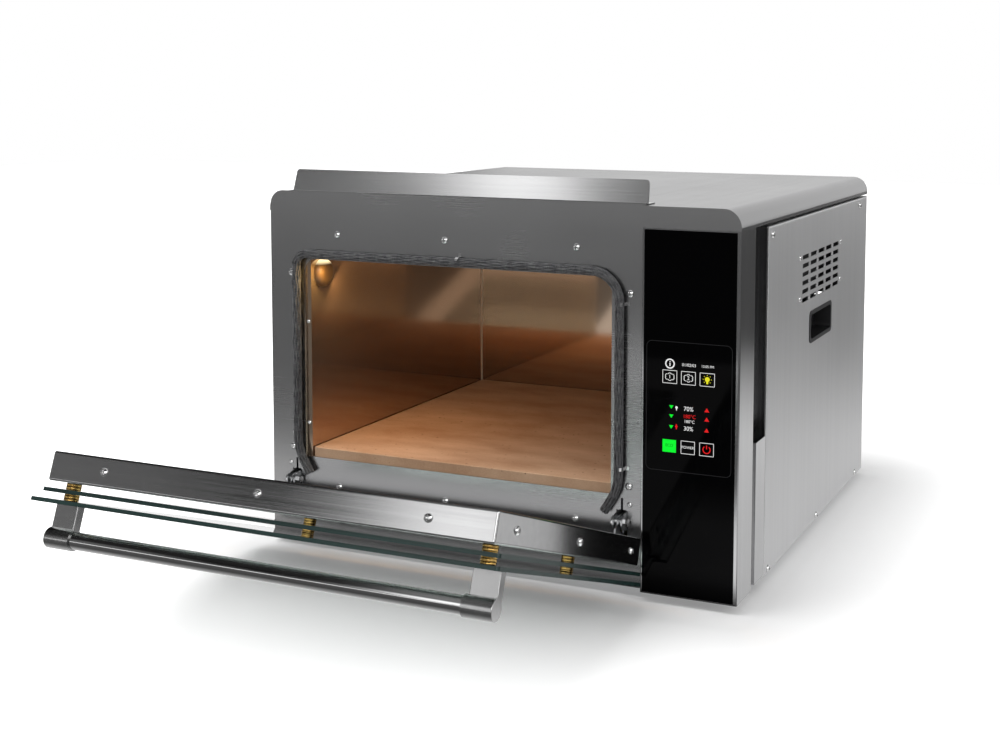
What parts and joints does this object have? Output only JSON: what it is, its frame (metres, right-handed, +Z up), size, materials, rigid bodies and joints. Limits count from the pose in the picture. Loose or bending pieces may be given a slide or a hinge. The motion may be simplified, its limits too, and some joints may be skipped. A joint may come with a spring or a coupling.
{
  "type": "electric pizza oven",
  "caption": "Counter-top electric deck oven for pizza, with a bottom-hinged glass door standing open, a baking stone and a touch column beside the opening.",
  "frame": {"origin": "on the counter, under the middle of the casing", "axes": "+Z up, +X to the right seen from the front, -Y out of the front of the oven"},
  "size_m": [0.6114, 1.019, 0.462],
  "materials": {
    "steel_bright": "brushed stainless steel",
    "steel_dark": "dark satin steel",
    "steel_mirror": "mirror-polished stainless steel",
    "zinc_steel": "zinc-plated steel",
    "screw_steel": "bright steel fasteners",
    "rubber_black": "black rubber",
    "black_plastic": "black moulded plastic",
    "board_green": "circuit board",
    "pale_plastic": "pale moulded plastic",
    "black_glass": "black printed glass",
    "clear_glass": "clear toughened glass",
    "stone_warm": "refractory stone",
    "rope_grey": "braided glass-fibre rope",
    "brass_spacer": "turned brass",
    "heater_tube": "sheathed heating tube",
    "wool_yellow": "mineral wool",
    "lamp_ceramic": "white ceramic"
  },
  "bodies": {
    "casing": {"back_panel": "steel_bright", "back_screws": "screw_steel", "baking_stone": "stone_warm", "base_tray": "zinc_steel", "cable_gland": "black_plastic", "chamber_stands": "zinc_steel", "column_glass": "black_glass", "column_shell": "steel_bright", "contactor": "black_plastic", "control_board": "board_green", "cooling_fan_frame": "black_plastic", "door_seal": "rope_grey", "feet": "rubber_black", "front_plate": "steel_dark", "front_screws": "screw_steel", "grip_cups": "black_plastic", "heater_clips": "zinc_steel", "hinge_bracket_left": "zinc_steel", "hinge_bracket_right": "zinc_steel", "hinge_pins": "zinc_steel", "hinge_stop_bolts": "zinc_steel", "insulation": "wool_yellow", "jamb_screws": "screw_steel", "lamp_glass": "clear_glass", "lamp_holder": "lamp_ceramic", "limit_thermostat": "black_plastic", "lower_heater": "heater_tube", "oven_liner": "steel_mirror", "panel_screws": "screw_steel", "partition_wall": "zinc_steel", "power_relays": "black_plastic", "recess_filler": "steel_bright", "seal_clips": "zinc_steel", "side_panel_left": "steel_bright", "side_panel_right": "steel_bright", "steam_pipe": "steel_bright", "stone_rails": "zinc_steel", "temperature_probe": "heater_tube", "terminal_block": "pale_plastic", "top_cover": "steel_bright", "touch_display": "black_plastic", "upper_heater": "heater_tube", "vent_baffle": "zinc_steel", "visor": "steel_bright"},
    "door": {"door_inner_frame": "steel_dark", "door_inner_glass": "clear_glass", "door_pane_bolts": "screw_steel", "door_pane_caps": "screw_steel", "door_pane_inner": "clear_glass", "door_pane_outer": "clear_glass", "door_screws": "screw_steel", "door_spacers": "brass_spacer", "door_tray": "steel_dark", "handle_bar": "steel_bright", "handle_posts": "steel_bright", "hinge_arm_left": "zinc_steel", "hinge_arm_right": "zinc_steel"},
    "fan": {"cooling_fan_rotor": "black_plastic"}
  },
  "joints": [
    {"name": "door_hinge", "type": "hinge", "parent": "casing", "child": "door", "pos_m": [0, -0.292, 0.0832], "axis": [-1, 0, 0], "range_deg": [0, 69.9]},
    {"name": "fan_spin", "type": "hinge", "parent": "casing", "child": "fan", "pos_m": [0.24, 0.3, 0.12], "axis": [0, 1, 0], "continuous": true}
  ]
}
